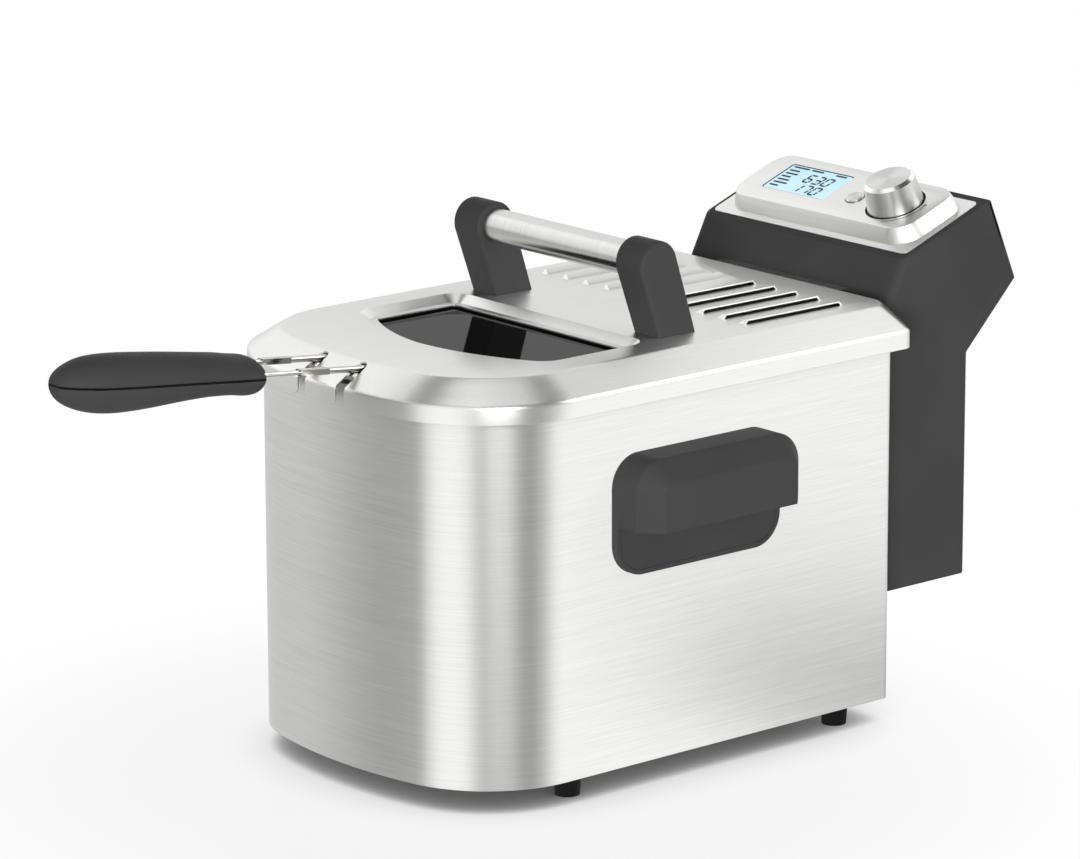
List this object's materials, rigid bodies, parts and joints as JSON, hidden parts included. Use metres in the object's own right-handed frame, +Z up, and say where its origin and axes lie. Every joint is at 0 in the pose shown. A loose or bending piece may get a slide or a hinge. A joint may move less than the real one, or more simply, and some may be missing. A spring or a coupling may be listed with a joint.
{
  "type": "deep fryer",
  "caption": "Domestic deep fryer with a brushed steel D-shaped housing, lift-out oil bowl, wire basket, windowed lid and a rear control pod that carries the heating element.",
  "frame": {"origin": "on the floor under the middle of the whole fryer, basket handle included", "axes": "+Z up, -Y towards the basket handle at the front, +X to the right side as seen from the front"},
  "size_m": [0.2792, 0.6054, 0.2962],
  "materials": {
    "brushed_stainless": "fine brushed",
    "drawn_stainless": "plain drawn sheet",
    "charcoal_plastic": "fine grained matte",
    "black_plastic": "matte",
    "black_rubber": "matte",
    "zinc_steel": "zinc plated",
    "silver_plate": "satin",
    "silver_console": "silver satin",
    "spun_aluminium": "spun and polished",
    "clear_lens": "clear moulding over a pale blue display",
    "tinted_glass": "tinted tempered glass",
    "green_board": "lacquered",
    "element_steel": "heat-darkened steel",
    "plated_wire": "nickel plated",
    "filter_felt": "carbon felt"
  },
  "bodies": {
    "housing": {"outer_wall": "brushed_stainless", "base_plate": "black_plastic", "feet": "black_rubber", "side_handle_right": "charcoal_plastic", "side_handle_left": "charcoal_plastic", "side_handle_screws": "zinc_steel", "pod_rails": "black_plastic", "rail_screws": "zinc_steel"},
    "bowl": {"oil_bowl": "drawn_stainless"},
    "pod": {"pod_front_shell": "charcoal_plastic", "pod_rear_cover": "charcoal_plastic", "pod_cover_screws": "zinc_steel", "cord_inlet": "black_rubber", "face_plate": "silver_plate", "console": "silver_console", "display_lens": "clear_lens", "display_module": "black_plastic", "control_board": "green_board", "encoder_body": "black_plastic", "start_switch": "black_plastic", "power_board": "green_board", "relay": "black_plastic", "terminal_block": "black_plastic", "interlock_switch": "black_plastic", "thermal_cutout": "zinc_steel", "element_head": "brushed_stainless", "heating_element": "element_steel", "temperature_probe": "element_steel"},
    "encoder": {"encoder_rotor": "black_plastic"},
    "select_knob": {"knob": "spun_aluminium", "knob_shaft": "zinc_steel"},
    "button": {"start_button": "spun_aluminium"},
    "basket": {"basket_floor_mesh": "plated_wire", "basket_front_mesh": "plated_wire", "basket_rear_mesh": "plated_wire", "basket_left_mesh": "plated_wire", "basket_right_mesh": "plated_wire", "basket_rim_wire": "plated_wire", "basket_base_wire": "plated_wire", "basket_corner_wires": "plated_wire", "basket_arms": "plated_wire", "handle_rods": "plated_wire", "handle_upper_half": "charcoal_plastic", "handle_lower_half": "charcoal_plastic", "handle_screw": "zinc_steel"},
    "lid": {"lid_cover": "brushed_stainless", "lid_liner": "drawn_stainless", "window_gasket": "black_rubber", "window_glass": "tinted_glass", "window_clamp": "drawn_stainless", "filter_tray": "drawn_stainless", "odour_filter": "filter_felt", "lid_handle_tube": "brushed_stainless", "lid_post_right": "charcoal_plastic", "lid_post_left": "charcoal_plastic", "lid_post_screws": "zinc_steel"}
  },
  "joints": [
    {"name": "bowl_lift", "type": "slide", "parent": "housing", "child": "bowl", "axis": [0, 0, 1], "range_m": [0, 0.2]},
    {"name": "pod_lift", "type": "slide", "parent": "bowl", "child": "pod", "axis": [0, 0, 1], "range_m": [0, 0.18]},
    {"name": "basket_lift", "type": "slide", "parent": "pod", "child": "basket", "axis": [0, 0, 1], "range_m": [0, 0.16]},
    {"name": "lid_lift", "type": "slide", "parent": "basket", "child": "lid", "axis": [0, 0, 1], "range_m": [0, 0.1]},
    {"name": "knob_turn", "type": "hinge", "parent": "pod", "child": "encoder", "pos_m": [0.0448, 0.24554, 0.27583], "axis": [0, -0.3518, 0.9361], "continuous": true},
    {"name": "knob_press", "type": "slide", "parent": "encoder", "child": "select_knob", "axis": [0, 0.3518, -0.9361], "range_m": [0, 0.0012], "stiffness_N_per_m": 1500, "springref_m": -0.001},
    {"name": "button_press", "type": "slide", "parent": "pod", "child": "button", "axis": [0, 0.3518, -0.9361], "range_m": [0, 0.0008], "stiffness_N_per_m": 1200, "springref_m": -0.001}
  ]
}
